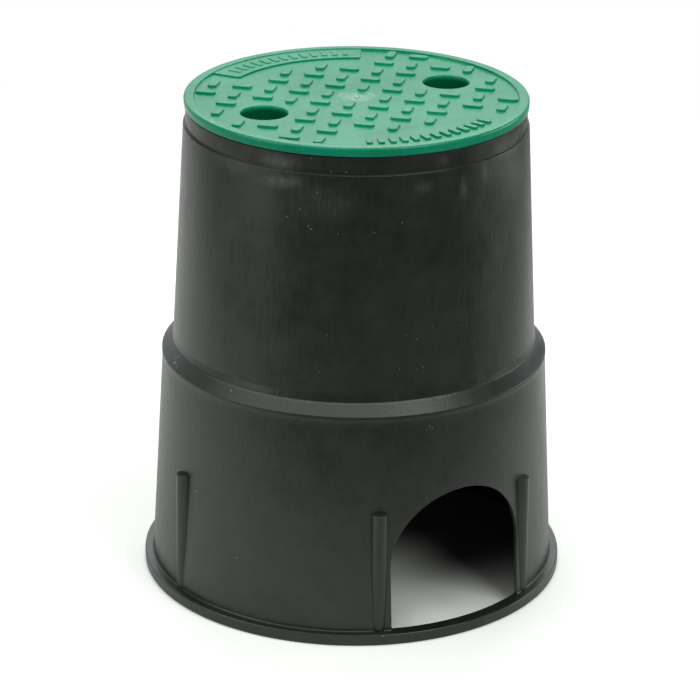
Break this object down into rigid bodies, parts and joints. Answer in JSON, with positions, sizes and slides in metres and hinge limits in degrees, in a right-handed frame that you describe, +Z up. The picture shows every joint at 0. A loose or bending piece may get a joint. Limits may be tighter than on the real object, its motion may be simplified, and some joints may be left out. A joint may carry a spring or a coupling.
{
  "type": "irrigation valve box",
  "caption": "Small round in-ground valve box: flared black moulded body with arched pipe openings and a green twist-lock lid with tread bars and finger pockets.",
  "frame": {"origin": "centre of the base ring, on the ground plane", "axes": "+Z up through the lid; the arched pipe openings face +Y and -Y; the lid's finger pockets lie along X"},
  "size_m": [0.198, 0.198, 0.23],
  "materials": {
    "black_plastic": "satin moulded",
    "green_plastic": "satin moulded"
  },
  "bodies": {
    "box": {"valve_box_body": "black_plastic"},
    "cover": {"lid": "green_plastic"}
  },
  "joints": [
    {"name": "lid_twist", "type": "hinge", "parent": "box", "child": "cover", "pos_m": [0, 0, 0.2255], "axis": [0, 0, 1], "range_deg": [0, 28]}
  ]
}
